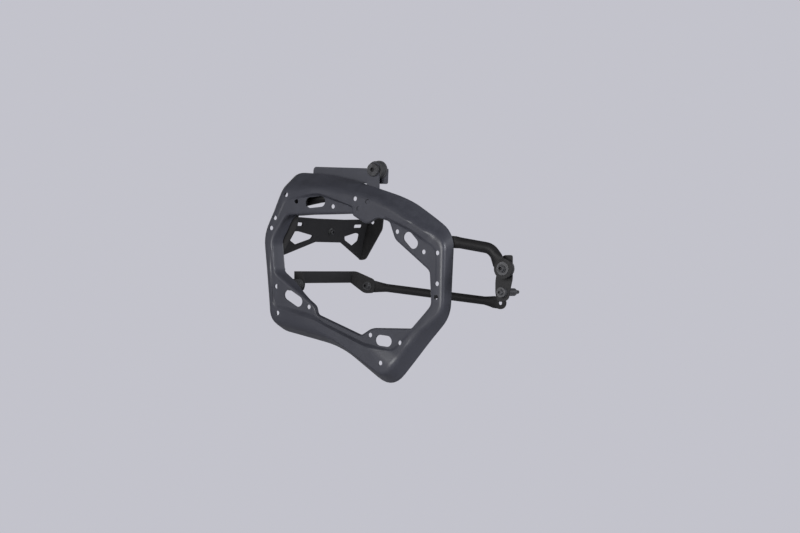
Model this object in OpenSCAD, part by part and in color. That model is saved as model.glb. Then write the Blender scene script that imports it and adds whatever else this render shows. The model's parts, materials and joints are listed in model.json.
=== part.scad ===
/* [Ring] */
// Width over the corner points of the ring's outline, in the unit the outlines are drawn in
ring_w = 400; // [360:1:440]
// Height over the corner points of the ring's outline
ring_h = 400; // [360:1:440]
// Depth of the pressing from the plane of the webs to its back edge
ring_depth = 28; // [24:0.5:34]
// Thickness of the pressed sheet
sheet = 2.5; // [2:0.1:3]
// How far the rim's crest stands out in front of the webs
crest_h = 8; // [4:0.5:10]
// Width of the step between the crest and the webs
step_w = 5; // [3:0.5:6]
// Length of the rounded shoulder on each side of its fold line
shoulder_fold = 6; // [4:0.5:7]
// Length of the rounded fold round the opening
opening_fold = 4; // [3.5:0.25:5]

/* [Ring holes] */
// Diameter of the small fixing holes
hole_d = 8.6; // [6:0.1:9]
// Width of the four slots in the corner webs
slot_w = 20; // [12:1:21]
// Length of the two slots at the rear
rear_slot_l = 44; // [30:1:46]
// Length of the two slots at the front
front_slot_l = 35; // [26:1:38]

/* [Plates] */
// Thickness of the brackets and lugs
plate_t = 3; // [2:0.5:4]
// Play of a screw in its hole, on the radius
play = 0.3; // [0.2:0.05:0.5]
// Play between a thread and its nut, on the radius
thread_play = 0.1; // [0.05:0.05:0.2]

/* [Rear brace] */
// Distance between the outer faces of the brace's two side flanges
brace_span = 302; // [260:1:340]
// Length of each sloping arm of the brace
brace_arm = 106; // [90:1:115]
// How far the centre plate stands in front of the folds
brace_set = 14; // [8:1:20]
// Height of the centre plate
brace_mid_h = 46; // [40:1:52]
// Height of the arms at their outer ends
brace_end_h = 84; // [78:1:92]
// Forward lean of the brace in degrees
brace_lean = 13.5; // [8:0.5:18]
// Diameter of the screw in the centre plate
centre_d = 6; // [5:1:8]
// Free length of the centre screw's thread
centre_thread_l = 12; // [6:1:16]

/* [Cross bar] */
// Height of the flat bar
bar_h = 23; // [18:1:28]
// Length of the flat bar between its two tabs
bar_l = 195; // [160:1:215]
// Length of the rubber bush between the ring and the bar
bush_l = 33; // [24:1:40]
// Outer diameter of the rubber bush
bush_d = 22; // [18:1:26]

/* [Stays] */
// Diameter of the lower stay's tube
lower_tube_d = 16; // [14:1:18]
// Diameter of the front stay's tube
front_tube_d = 20; // [18:1:22]
// Diameter of the upper link's tube
link_tube_d = 18; // [14:1:20]
// Wall of all the tubes
tube_wall = 2; // [1.5:0.25:2.5]
// Distance between the two eyes of the lower stay
lower_stay_l = 300; // [260:1:340]
// Angle by which the lower stay drops towards the front, in degrees
lower_stay_drop = 6; // [2:0.5:12]
// Distance between the two eyes of the upper link
link_l = 86; // [80:1:100]

/* [Top mount] */
// Length of the folded top bracket
bracket_l = 164; // [150:1:190]
// Height of the top bracket
bracket_h = 28; // [24:1:34]
// Width of the top bracket's folded flanges
bracket_flange = 18; // [12:1:24]
// Diameter of the top screw's head
top_head_d = 24; // [20:1:28]
// Diameter of the rubber disc under the top tab
top_disc_d = 32; // [28:1:36]
// Thickness of the rubber disc
top_disc_t = 12; // [8:1:16]

/* [Front mount] */
// Distance along the bike from the ring's centre to the front screw
front_x = 293; // [285:1:303]
// Height of the front screw, from the ring's centre
front_z = -23; // [-29:1:-17]
// Height of the front stay's eye above the front screw
eye_rise = 42; // [38:1:48]
// Distance of the eye in front of the front screw
eye_shift = 8; // [3:1:13]
// Length of the rubber bush between the eye and the front plate
eye_bush_t = 12; // [8:1:18]
// Length of the sleeve between the front plate and the bike
sleeve_l = 36; // [20:1:50]
// Free length of the front screw's thread
thread_l = 16; // [10:1:24]

/* [Fasteners] */
// Diameter of the main screws
screw_d = 8; // [6:1:8]
// Diameter of the front screw
front_screw_d = 6; // [5:1:6]
// Diameter of the top screw
top_screw_d = 10; // [8:1:12]

/* [Hidden] */
$fn = 64;

coat = [0.16, 0.165, 0.18];
dark_coat = [0.11, 0.11, 0.115];
zinc_black = [0.2, 0.2, 0.21];
rubber_black = [0.06, 0.06, 0.06];

// Points along one rounded corner, and along one fold or step of the section
corner_steps = 6;
fold_steps = 4;
over = 1;

// Corner points clockwise from the rear top: across and up in percent of the ring's
// width and height from its centre, then the length that the rounding takes in mm
outer_corners = [
    [-35, 50.5, 32], [-16.5, 48.75, 18], [-0.5, 45, 9], [4.5, 43.5, 5], [14.5, 40.5, 14],
    [23.25, 37.75, 12], [30.75, 34.5, 12], [40, 28.5, 12], [51, 20.75, 28], [49, -16.75, 24],
    [38, -28.5, 12], [29.5, -38.25, 12], [18.5, -50.5, 36], [-9.5, -31.5, 32], [-23, -28.5, 12],
    [-46.5, -23.5, 26], [-50.75, 20.5, 22]
];
shoulder_corners = [
    [-39, 43, 10], [-17, 42.5, 14], [-0.5, 40.25, 8], [5, 39, 5], [15, 36.25, 12],
    [23.5, 33, 10], [29.5, 29.75, 8], [38.5, 25, 10], [49.75, 18, 14], [48.75, -14.75, 14],
    [36.25, -24.25, 10], [28.5, -32.75, 10], [19, -45, 18], [-8.5, -27.75, 26], [-23, -24.25, 10],
    [-45.75, -20, 18], [-49.75, 20.5, 18]
];
crease_corners = [
    [-36.75, 38, 8], [-17.5, 40.25, 10], [-1, 34.75, 6], [3.5, 33, 4], [11.75, 30.25, 8],
    [18, 30.25, 6], [23.75, 28.5, 6], [33.25, 25, 10], [46, 14.25, 10], [46, -13.25, 8],
    [34.25, -23, 4], [24, -33, 8], [9, -31.25, 5], [-15.25, -21, 10], [-22.25, -18.75, 6],
    [-43.5, -13.25, 8], [-46.5, 19.5, 12]
];
opening_corners = [
    [-36.5, 30, 9], [-18, 30, 15], [0.25, 30, 4], [3.5, 28.25, 4], [9.5, 24.75, 9],
    [15.25, 28, 6], [20.5, 26.25, 5], [23.5, 18, 7], [42, 3.5, 8], [42.5, -11.5, 8],
    [32.5, -22.25, 4], [11, -22.25, 9], [5, -25.75, 6], [-19.25, -16.5, 5], [-20.25, -12.5, 6],
    [-42.5, 2.75, 12], [-43.75, 18, 14]
];
// At the same corners: share of the crest's height on the rim, then inside the crease,
// and the depth of the lip round the opening as a share of the ring's depth
rim_share = [0.15, 0.9, 1, 1, 1, 1, 1, 0.8, 0.1, 0, 0.1, 0.35, 1, 1, 1, 0.3, 0];
web_share = [0, 0, 0, 1, 1, 1, 0, 0, 0, 0, 0, 0, 0, 0, 0, 0, 0];
lip_share = [0.95, 0.7, 0.4, 0.35, 0.3, 0.3, 0.3, 0.3, 0.5, 0.6, 0.35, 0.3, 0.35, 0.35, 0.35, 0.95, 0.95];

// Small holes, and the middles and slopes of the slots, in the same percent
holes = [
    [-36.25, 39.5], [-30.5, 36.25], [-10, 33.5], [3.5, 36.75], [10.25, 35.25], [5.5, 32.25],
    [-42.75, 28.75], [-45, 24], [25, 21.5], [39, 12.25], [46.25, 11.75], [46, -2], [45.5, -8],
    [-42, -3.5], [-23.5, -13], [-41, -16], [10.5, -25.5], [26.5, -28.75], [17.25, -38]
];
slots = [
    [-19.75, 35.75, rear_slot_l, 4], [32.25, 17.5, front_slot_l, -46],
    [17.75, -28, front_slot_l, -6], [-32.25, -9, rear_slot_l, -30]
];

// Fixing points on the ring, in the same percent
ear_bolt = on_ring([-36.5, 36]);
low_ear_bolt = on_ring([-41.5, 28.5]);
bush_point = on_ring([-40, -2.75]);
brace_fold = on_ring([-44.75, 30]);
foot_bolt = on_ring([46.75, 12.5]);
tube_start = on_ring([44.5, 17.5]);
top_point = on_ring([8.25, 50.25]);

// Depths from the plane of the webs, growing towards the bike
lug_y = ring_depth;
bolted_y = lug_y + plate_t;
bracket_y = bolted_y + top_disc_t + plate_t;
bar_y = bolted_y + bush_l;
bar_far_y = bar_y + bar_l;
flat_t = 2 * tube_wall;
front_plate_y = bolted_y + flat_t + eye_bush_t;
seat_y = front_plate_y + plate_t + sleeve_l;

// Heads, nuts and washers, from the screw's diameter
function head_d(d) = 1.6 * d;
function head_h(d) = d;
function nut_af(d) = 1.62 * d;
function nut_h(d) = 0.8 * d;
function washer_d(d) = 2.1 * d;
washer_t = 1.6;

function on_ring(p) = [p[0] * ring_w / 100, p[1] * ring_h / 100];
function unit(v) = v / norm(v);
function curve(a, b, c, t) = a * (1 - t) * (1 - t) + b * 2 * t * (1 - t) + c * t * t;

// Points of one rounded corner b between its neighbours a and c
function rounded(a, b, c, cut, steps) =
    let (p = b + unit(a - b) * cut, q = b + unit(c - b) * cut)
    [for (s = [0:steps - 1]) curve(p, b, q, s / (steps - 1))];

// A closed line through all the corners of a list
function line_of(corners) =
    let (n = len(corners))
    [for (k = [0:n - 1])
        each rounded(on_ring(corners[(k + n - 1) % n]), on_ring(corners[k]),
            on_ring(corners[(k + 1) % n]), corners[k][2], corner_steps)];

// A closed outline in mm, each corner with the length of its rounding
function smooth(corners, steps = 5) =
    let (n = len(corners), at = [for (c = corners) [c[0], c[1]]])
    [for (k = [0:n - 1])
        each rounded(at[(k + n - 1) % n], at[k], at[(k + 1) % n], corners[k][2], steps)];

outer_line = line_of(outer_corners);
shoulder_line = line_of(shoulder_corners);
crease_line = line_of(crease_corners);
opening_line = line_of(opening_corners);
stations = len(outer_line);

// Direction away from the opening at one station of a line
function outward(line, i) =
    let (n = len(line), d = unit(line[(i + 1) % n] - line[(i + n - 1) % n]))
    [-d[1], d[0]];

function at_depth(p, y) = [p[0], y, p[1]];

// Section of the sheet at one station, from its back edge to the lip; in is 0 for the
// side that shows and the sheet's thickness for the side behind
function skin(i, in) =
    let (
        k = floor(i / corner_steps),
        rise = rim_share[k] * crest_h,
        web = web_share[k] * crest_h,
        lip = lip_share[k] * ring_depth,
        out = outward(shoulder_line, i),
        out_hole = outward(opening_line, i),
        draft = atan2((outer_line[i] - shoulder_line[i]) * out, ring_depth + rise),
        pull = in * tan(45 - draft / 2),
        edge = at_depth(outer_line[i] - out * in / cos(draft), ring_depth),
        fold = at_depth(shoulder_line[i] - out * pull, in - rise),
        toward = unit(opening_line[i] - crease_line[i]),
        crest = at_depth(crease_line[i], in - rise),
        foot = at_depth(crease_line[i] + toward * step_w, in - web),
        rim = at_depth(opening_line[i] + out_hole * in, in - web),
        lip_end = at_depth(opening_line[i] + out_hole * in, lip - web)
    )
    concat(
        [edge],
        rounded(edge, fold, crest, shoulder_fold - pull, fold_steps),
        [for (s = [0:fold_steps - 1])
            let (t = s / (fold_steps - 1), drop = (1 - cos(180 * t)) / 2)
            [crest[0] + (foot[0] - crest[0]) * t, crest[1] + (foot[1] - crest[1]) * drop,
                crest[2] + (foot[2] - crest[2]) * t]],
        rounded(foot, rim, lip_end, opening_fold - in, fold_steps),
        [lip_end]
    );

function reversed(list) = [for (i = [len(list) - 1:-1:0]) list[i]];
sections = [for (i = [0:stations - 1]) concat(skin(i, 0), reversed(skin(i, sheet)))];
section_n = len(sections[0]);

module pressed_shell() {
    polyhedron(
        points = [for (s = sections) each s],
        faces = [for (i = [0:stations - 1], j = [0:section_n - 1])
            let (
                a = i * section_n, b = ((i + 1) % stations) * section_n, next = (j + 1) % section_n
            )
            each [[a + j, b + j, b + next], [a + j, b + next, a + next]]],
        convexity = 10
    );
}

// Moves a piece so that the seat of the front screw's sleeve is at the origin
module in_frame() {
    translate([-front_x, -seat_y, -front_z]) children();
}

// A round bar along the depth, from y0 to y1
module rod(p, d, y0, y1) {
    translate([p[0], y0, p[1]]) rotate([-90, 0, 0]) cylinder(d = d, h = y1 - y0);
}

// An upright plate seen from the side, from depth y with thickness t
module plate(y, t) {
    translate([0, y + t, 0]) rotate([90, 0, 0]) linear_extrude(t) children();
}

module slot(p, w, l, slope, y0, y1) {
    translate([p[0], y0, p[1]]) rotate([0, -slope, 0]) {
        for (side = [-1, 1]) rod([side * (l - w) / 2, 0], w, 0, y1 - y0);
        translate([-(l - w) / 2, 0, -w / 2]) cube([l - w, y1 - y0, w]);
    }
}

// A folded strip of even thickness t along a line of points, drawn flat
function strip(line, t) =
    let (
        n = len(line),
        side = [for (i = [0:n - 1])
            let (
                back = unit(line[max(i, 1)] - line[max(i, 1) - 1]),
                ahead = unit(line[min(i, n - 2) + 1] - line[min(i, n - 2)]),
                normal = unit([-back[1] - ahead[1], back[0] + ahead[0]])
            )
            normal / (normal * [-back[1], back[0]])]
    )
    concat(line, reversed([for (i = [0:n - 1]) line[i] + side[i] * t]));

// Screw along the depth: its head, hd wide and hh high, ends at y and its shank at y_end.
// free is the length of the thread that stands out behind a narrow groove.
module screw(p, d, y, y_end, hd, hh, free = 0) {
    chamfer = d / 12;
    shank = hh + y_end - y;
    difference() {
        translate([p[0], y - hh, p[1]]) rotate([-90, 0, 0]) rotate_extrude() polygon(concat([
            [0, 0], [hd / 2 - chamfer, 0], [hd / 2, chamfer], [hd / 2, hh], [d / 2, hh]
        ], free > 0 ? [
            [d / 2, shank - free - 2], [0.43 * d, shank - free - 2], [0.43 * d, shank - free],
            [d / 2, shank - free]
        ] : [], [
            [d / 2, shank - chamfer], [d / 2 - chamfer, shank], [0, shank]
        ]));
        translate([p[0], y - hh - over, p[1]]) rotate([-90, 0, 0])
            cylinder(d = 0.9 * d, h = 0.6 * hh + over, $fn = 6);
    }
}

module cap_screw(p, d, y, y_end) {
    screw(p, d, y, y_end, head_d(d), head_h(d));
}

module nut(p, d, y) {
    difference() {
        intersection() {
            translate([p[0], y, p[1]]) rotate([-90, 0, 0])
                cylinder(d = nut_af(d) / cos(30), h = nut_h(d), $fn = 6);
            translate([p[0], y, p[1]]) rotate([-90, 0, 0]) rotate_extrude() polygon([
                [0, 0], [nut_af(d) / 2, 0], [nut_af(d) / 2 + d / 6, d / 10],
                [nut_af(d) / 2 + d / 6, nut_h(d) - d / 10], [nut_af(d) / 2, nut_h(d)], [0, nut_h(d)]
            ]);
        }
        rod(p, d + 2 * thread_play, y - over, y + nut_h(d) + over);
    }
}

module washer(p, d, outer, y, t) {
    difference() {
        rod(p, outer, y, y + t);
        rod(p, d + 2 * play, y - over, y + t + over);
    }
}

module hole(p, d, y0, y1) {
    rod(p, d + 2 * play, y0 - over, y1 + over);
}

// The pressed ring: one sheet with a raised rim, drafted outer wall, lip round the opening
module ring() {
    color(coat) in_frame() difference() {
        pressed_shell();
        for (h = holes) rod(on_ring(h), hole_d, -2 * crest_h, ring_depth / 2);
        for (s = slots) slot(on_ring(s), slot_w, s[2], s[3], -2 * crest_h, ring_depth / 2);
    }
}

// Plate welded to the back of the ring's rear bar, with ears for the brace and the bush
module rear_plate() {
    color(coat) in_frame() difference() {
        plate(lug_y, plate_t) polygon(smooth([
            [ear_bolt[0] - 40, bush_point[1] - 10, 4], [ear_bolt[0] - 40, low_ear_bolt[1] - 26, 6],
            [ear_bolt[0] - 15, ear_bolt[1] + 4, 6], [ear_bolt[0] - 4, ear_bolt[1] + 14, 5],
            [ear_bolt[0] + 13, ear_bolt[1] + 14, 5], [ear_bolt[0] + 13, ear_bolt[1] - 16, 5],
            [ear_bolt[0] - 3, ear_bolt[1] - 21, 4], [brace_fold[0] + 2, ear_bolt[1] - 70, 6],
            [bush_point[0] - 10, bush_point[1] + 24, 6], [bush_point[0] + 9, bush_point[1] + 5, 5],
            [bush_point[0] + 12, bush_point[1] - 10, 5]
        ]));
        for (p = [ear_bolt, low_ear_bolt, bush_point]) hole(p, screw_d, lug_y, bolted_y);
    }
}

module front_lug() {
    color(coat) in_frame() difference() {
        plate(lug_y, plate_t) polygon(smooth([
            [tube_start[0] - 5, foot_bolt[1] - 12, 4], [tube_start[0] - 5, tube_start[1] + 14, 5],
            [tube_start[0] + 16, tube_start[1] + 14, 5], [foot_bolt[0] + 9, foot_bolt[1] - 12, 5]
        ]));
        hole(foot_bolt, screw_d, lug_y, bolted_y);
    }
}

// Tab from the back of the ring's bulge, over to the ring's back edge and up to the top screw
tab_w = 28;
tab_low_y = sheet - crest_h;
tab_turn_drop = 60;
tab_low_drop = 82;
tab_turn_z = top_point[1] - tab_turn_drop;
tab_low_z = top_point[1] - tab_low_drop;

module top_tab() {
    color(coat) in_frame() difference() {
        intersection() {
            translate([top_point[0] - tab_w / 2 - 4, 0, 0]) rotate([90, 0, 90])
                linear_extrude(tab_w) polygon(strip([
                    [tab_low_y + plate_t, tab_low_z], [tab_low_y + plate_t, tab_turn_z],
                    [lug_y + plate_t, tab_turn_z], [lug_y + plate_t, top_point[1] + tab_w / 2]
                ], plate_t));
            union() {
                translate([0, -2 * crest_h, 0]) rod(top_point, tab_w, 0, ring_depth + 3 * crest_h);
                plate(-2 * crest_h, ring_depth + 3 * crest_h) polygon([
                    [top_point[0] - tab_w / 2 - 5, tab_low_z - over], [top_point[0] - tab_w / 2 - 5, tab_turn_z],
                    [top_point[0] - tab_w / 2, top_point[1]], [top_point[0] + tab_w / 2, top_point[1]],
                    [top_point[0] + tab_w / 2, tab_low_z - over]
                ]);
            }
        }
        hole(top_point, top_screw_d, lug_y, bolted_y);
    }
}

// Rear brace, drawn upright from its fold line and then leaned forward
brace_y = [bolted_y, bolted_y + brace_span];
brace_mid_y = (brace_y[0] + brace_y[1]) / 2;
brace_slope_t = plate_t * norm([brace_set, brace_arm]) / brace_arm;
flange_w = 34;
ear_h = 40;
centre_drop = 24;

function brace_line() =
    let (a = brace_y[0], b = brace_y[1])
    [[0, a], [brace_set, a + brace_arm], [brace_set, b - brace_arm], [0, b]];

function flange_outline() = smooth([
    [0, -brace_end_h, 1], [0, 2, 2], [8, ear_h, 5], [flange_w + 2, ear_h, 6],
    [flange_w + 4, 6, 6], [flange_w + 6, -12, 5], [15, -brace_end_h + 4, 5], [5, -brace_end_h, 2]
]);

// Pentagon cut-out, then the thin slot, on one arm: u runs outwards from the centre plate
function arm_window() = smooth([
    [0.09 * brace_arm, -34, 3], [0.53 * brace_arm, -27, 6], [0.72 * brace_arm, -30, 3],
    [0.72 * brace_arm, -44, 4], [0.51 * brace_arm, -54, 4], [0.13 * brace_arm, -41, 3]
]);

function arm_slit() = smooth([
    [0.42 * brace_arm, -10, 3], [0.76 * brace_arm, -10, 3],
    [0.76 * brace_arm, -17, 3], [0.42 * brace_arm, -17, 3]
]);

module across(x0, x1) {
    translate([x0, 0, 0]) rotate([90, 0, 90]) linear_extrude(x1 - x0) children();
}

module in_brace_frame() {
    translate([brace_fold[0], 0, brace_fold[1]]) rotate([0, brace_lean, 0]) children();
}

module rear_brace() {
    color(dark_coat) in_frame() difference() {
        in_brace_frame() difference() {
            union() {
                intersection() {
                    translate([0, 0, -2 * brace_end_h]) linear_extrude(3 * brace_end_h)
                        polygon(concat(brace_line(),
                            reversed([for (p = brace_line()) p + [brace_slope_t, 0]])));
                    across(-flange_w, flange_w) polygon([
                        [brace_y[0], 0], [brace_y[1], 0], [brace_y[1], -brace_end_h],
                        [brace_y[1] - brace_arm, -brace_mid_h], [brace_y[0] + brace_arm, -brace_mid_h],
                        [brace_y[0], -brace_end_h]
                    ]);
                }
                plate(brace_y[0], plate_t) polygon(flange_outline());
                plate(brace_y[1] - plate_t, plate_t) polygon(flange_outline());
            }
            for (side = [0, 1]) translate([0, brace_mid_y, 0]) mirror([0, side, 0])
                translate([0, brace_span / 2 - brace_arm, 0]) across(-flange_w, flange_w) {
                    polygon(arm_window());
                    polygon(arm_slit());
                }
            translate([-flange_w, brace_mid_y, -centre_drop]) rotate([0, 90, 0])
                cylinder(d = centre_d + 2 * play, h = 2 * flange_w);
        }
        for (y = brace_y, p = [ear_bolt, low_ear_bolt])
            hole(p, screw_d, y - plate_t - over, y + plate_t);
    }
}

link_y = bolted_y + plate_t;

module brace_screws() {
    color(zinc_black) in_frame() {
        cap_screw(ear_bolt, screw_d, lug_y, link_y + flat_t + nut_h(screw_d) + 2);
        cap_screw(low_ear_bolt, screw_d, lug_y, link_y + nut_h(screw_d) + 2);
    }
}

module brace_nuts() {
    color(zinc_black) in_frame() {
        nut(ear_bolt, screw_d, link_y + flat_t);
        nut(low_ear_bolt, screw_d, link_y);
    }
}

module at_centre_screw() {
    in_brace_frame() translate([brace_set + brace_slope_t + washer_t, brace_mid_y, -centre_drop])
        rotate([0, 0, 90]) children();
}

module centre_screw() {
    color(zinc_black) in_frame() at_centre_screw()
        screw([0, 0], centre_d, 0, washer_t + plate_t + 2 + centre_thread_l, head_d(centre_d),
            head_h(centre_d), centre_thread_l);
}

module centre_washer() {
    color(zinc_black) in_frame() at_centre_screw()
        washer([0, 0], centre_d, washer_d(centre_d), 0, washer_t);
}

// Cross bar: upright flat bar with a tab at each end
bar_x = bush_point[0] - 12;
bar_z = bush_point[1] + 14;
far_bolt = [bar_x + 41, bar_z - 17.5];

module cross_bar() {
    color(dark_coat) in_frame() difference() {
        union() {
            translate([bar_x, bar_y, bar_z - bar_h / 2])
                cube([plate_t, bar_l + plate_t, bar_h]);
            plate(bar_y, plate_t) polygon(smooth([
                [bar_x, bar_z - bar_h / 2, 1], [bar_x, bar_z + bar_h / 2, 1],
                [bush_point[0] + 6, bar_z + bar_h / 2, 4], [bush_point[0] + 12, bush_point[1], 6],
                [bush_point[0] + 8, bush_point[1] - 12, 5], [bush_point[0] - 6, bush_point[1] - 12, 4]
            ]));
            plate(bar_far_y, plate_t) polygon(smooth([
                [bar_x, bar_z - bar_h / 2, 1], [bar_x, bar_z + bar_h / 2, 1],
                [bar_x + 12, bar_z + bar_h / 2, 6], [far_bolt[0] + 16, far_bolt[1] + 12, 8],
                [far_bolt[0] + 15, far_bolt[1] - 14, 8], [far_bolt[0] - 8, far_bolt[1] - 15, 8]
            ]));
        }
        hole(bush_point, screw_d, bar_y, bar_y + plate_t);
        hole(far_bolt, screw_d, bar_far_y, bar_far_y + plate_t);
    }
}

// Rubber bush with rounded ribs, between the rear plate and the cross bar
module cross_bar_bush() {
    ribs = 5;
    pitch = bush_l / ribs;
    color(rubber_black) in_frame() translate([bush_point[0], bolted_y, bush_point[1]])
        rotate([-90, 0, 0]) rotate_extrude() polygon(concat(
            [[screw_d / 2 + play, 0]],
            [for (k = [0:ribs - 1]) each [
                [bush_d / 2 - 2, k * pitch], [bush_d / 2, (k + 0.2) * pitch],
                [bush_d / 2, (k + 0.8) * pitch], [bush_d / 2 - 2, (k + 1) * pitch - 0.01]
            ]],
            [[bush_d / 2 - 2, bush_l], [screw_d / 2 + play, bush_l]]
        ));
}

module cross_bar_screw() {
    color(zinc_black) in_frame()
        cap_screw(bush_point, screw_d, lug_y, bar_y + plate_t + nut_h(screw_d) + 2);
}

module cross_bar_nut() {
    color(zinc_black) in_frame() nut(bush_point, screw_d, bar_y + plate_t);
}

tube_sides = 24;

// One cross-section of a tube at p, square to dir: w high and t deep, centred at depth y
function tube_section(p, dir, w, t, y) = [for (k = [0:tube_sides - 1])
    let (q = cos(360 * k / tube_sides) * w / 2)
    [p[0] - dir[1] * q, y + sin(360 * k / tube_sides) * t / 2, p[1] + dir[0] * q]];

module swept(rows) {
    n = len(rows[0]);
    last = len(rows) - 1;
    polyhedron(
        points = [for (r = rows) each r],
        faces = concat(
            [[for (j = [n - 1:-1:0]) j], [for (j = [0:n - 1]) last * n + j]],
            [for (i = [0:last - 1], j = [0:n - 1])
                let (a = i * n, b = a + n, next = (j + 1) % n)
                each [[a + j, a + next, b + next], [a + j, b + next, b + j]]]
        ),
        convexity = 4
    );
}

// Tube with both ends pressed flat round a hole: lies along X from a hole at the origin,
// its flat ends between y = 0 and flat_t at the start, and from end_y at the other end
module flat_ended_tube(d, l, eye_d, end_y) {
    press = 1.6 * eye_d;
    thin = flat_t - 0.2;
    y = d / 2;
    wide = eye_d - 1;
    bore = d - 2 * tube_wall;
    way = [1, 0];
    difference() {
        union() {
            swept(concat(
                [for (x = [0.2, 0.62]) tube_section([x * eye_d, 0], way, wide, thin, flat_t / 2),
                    tube_section([1.05 * eye_d, 0], way, (wide + d) / 2, (thin + d) / 2, (y + flat_t / 2) / 2)],
                [for (x = [press, l - press]) tube_section([x, 0], way, d, d, y)],
                [tube_section([l - 1.05 * eye_d, 0], way, (wide + d) / 2, (thin + d) / 2,
                        (y + end_y + flat_t / 2) / 2)],
                [for (x = [0.62, 0.2])
                    tube_section([l - x * eye_d, 0], way, wide, thin, end_y + flat_t / 2)]
            ));
            rod([0, 0], eye_d, 0, flat_t);
            rod([l, 0], eye_d, end_y, end_y + flat_t);
        }
        swept([for (x = [press + 2, l - press - 2]) tube_section([x, 0], way, bore, bore, y)]);
        hole([0, 0], screw_d, 0, flat_t);
        hole([l, 0], screw_d, end_y, end_y + flat_t);
    }
}

stay_y = bar_far_y + plate_t;

module lower_stay() {
    color(dark_coat) in_frame() translate([far_bolt[0], stay_y, far_bolt[1]])
        rotate([0, lower_stay_drop, 0]) flat_ended_tube(lower_tube_d, lower_stay_l, 24, 0);
}

module lower_stay_screw() {
    color(zinc_black) in_frame() cap_screw(far_bolt, screw_d, bar_far_y - washer_t,
        stay_y + flat_t + nut_h(screw_d) + 2);
}

module lower_stay_washer() {
    color(zinc_black) in_frame()
        washer(far_bolt, screw_d, washer_d(screw_d), bar_far_y - washer_t, washer_t);
}

module lower_stay_nut() {
    color(zinc_black) in_frame() nut(far_bolt, screw_d, stay_y + flat_t);
}

// Upper link from the brace's ear to the top bracket
link_slope = 9;
link_bolt = ear_bolt + link_l * [cos(link_slope), sin(link_slope)];

module upper_link() {
    color(dark_coat) in_frame() translate([ear_bolt[0], link_y, ear_bolt[1]])
        rotate([0, -link_slope, 0])
            flat_ended_tube(link_tube_d, link_l, 22, bracket_y - flat_t - link_y);
}

module link_screw() {
    color(zinc_black) in_frame() cap_screw(link_bolt, screw_d, bracket_y - flat_t,
        bracket_y + plate_t + nut_h(screw_d) + 2);
}

module link_nut() {
    color(zinc_black) in_frame() nut(link_bolt, screw_d, bracket_y + plate_t);
}

// Folded top bracket: web with a flange along its top and bottom, an ear for the link
bracket_slope = 3;
bracket_top = 3;

module top_bracket() {
    rear = -bracket_l + top_disc_d / 2;
    low = bracket_top - bracket_h;
    color(coat) in_frame() difference() {
        union() {
            plate(bracket_y, plate_t) {
                translate(top_point) rotate(-bracket_slope) polygon(smooth([
                    [rear, low + 4, 3], [rear, bracket_top - 4, 3], [rear + 4, bracket_top, 2],
                    [top_disc_d / 2 + 2, bracket_top, 2], [top_disc_d / 2 + 2, low, 4], [rear + 4, low, 2]
                ]));
                translate(top_point) circle(d = top_disc_d - 2);
                polygon(smooth([
                    [link_bolt[0] - 12, link_bolt[1] - 13, 8], [link_bolt[0] - 12, link_bolt[1] + 40, 2],
                    [link_bolt[0] + 12, link_bolt[1] + 40, 2], [link_bolt[0] + 12, link_bolt[1] - 13, 8]
                ]));
            }
            translate([top_point[0], bracket_y, top_point[1]]) rotate([0, bracket_slope, 0])
                for (z = [low, bracket_top - plate_t])
                    translate([rear + 8, 1, z]) cube([bracket_l - 44, bracket_flange - 1, plate_t]);
        }
        hole(top_point, top_screw_d, bracket_y, bracket_y + plate_t);
        hole(link_bolt, screw_d, bracket_y, bracket_y + plate_t);
    }
}

module top_screw() {
    color(zinc_black) in_frame() screw(top_point, top_screw_d, lug_y,
        bracket_y + plate_t + nut_h(top_screw_d) + 2, top_head_d, 7);
}

module top_disc() {
    color(rubber_black) in_frame()
        washer(top_point, top_screw_d, top_disc_d, bolted_y, top_disc_t);
}

module top_washer() {
    color(zinc_black) in_frame()
        washer(top_point, top_screw_d, top_disc_d + 3, bolted_y + top_disc_t, plate_t);
}

module top_nut() {
    color(zinc_black) in_frame() nut(top_point, top_screw_d, bracket_y + plate_t);
}

// Front stay: one tube, flat foot on the lug, bend, flat eye
eye = [front_x + eye_shift, front_z + eye_rise];
stay_bend = eye + [-30, 36];
foot_top = tube_start + [8, -1];
eye_outer = 36;

bend_r = 26;
bend_steps = 5;

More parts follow.
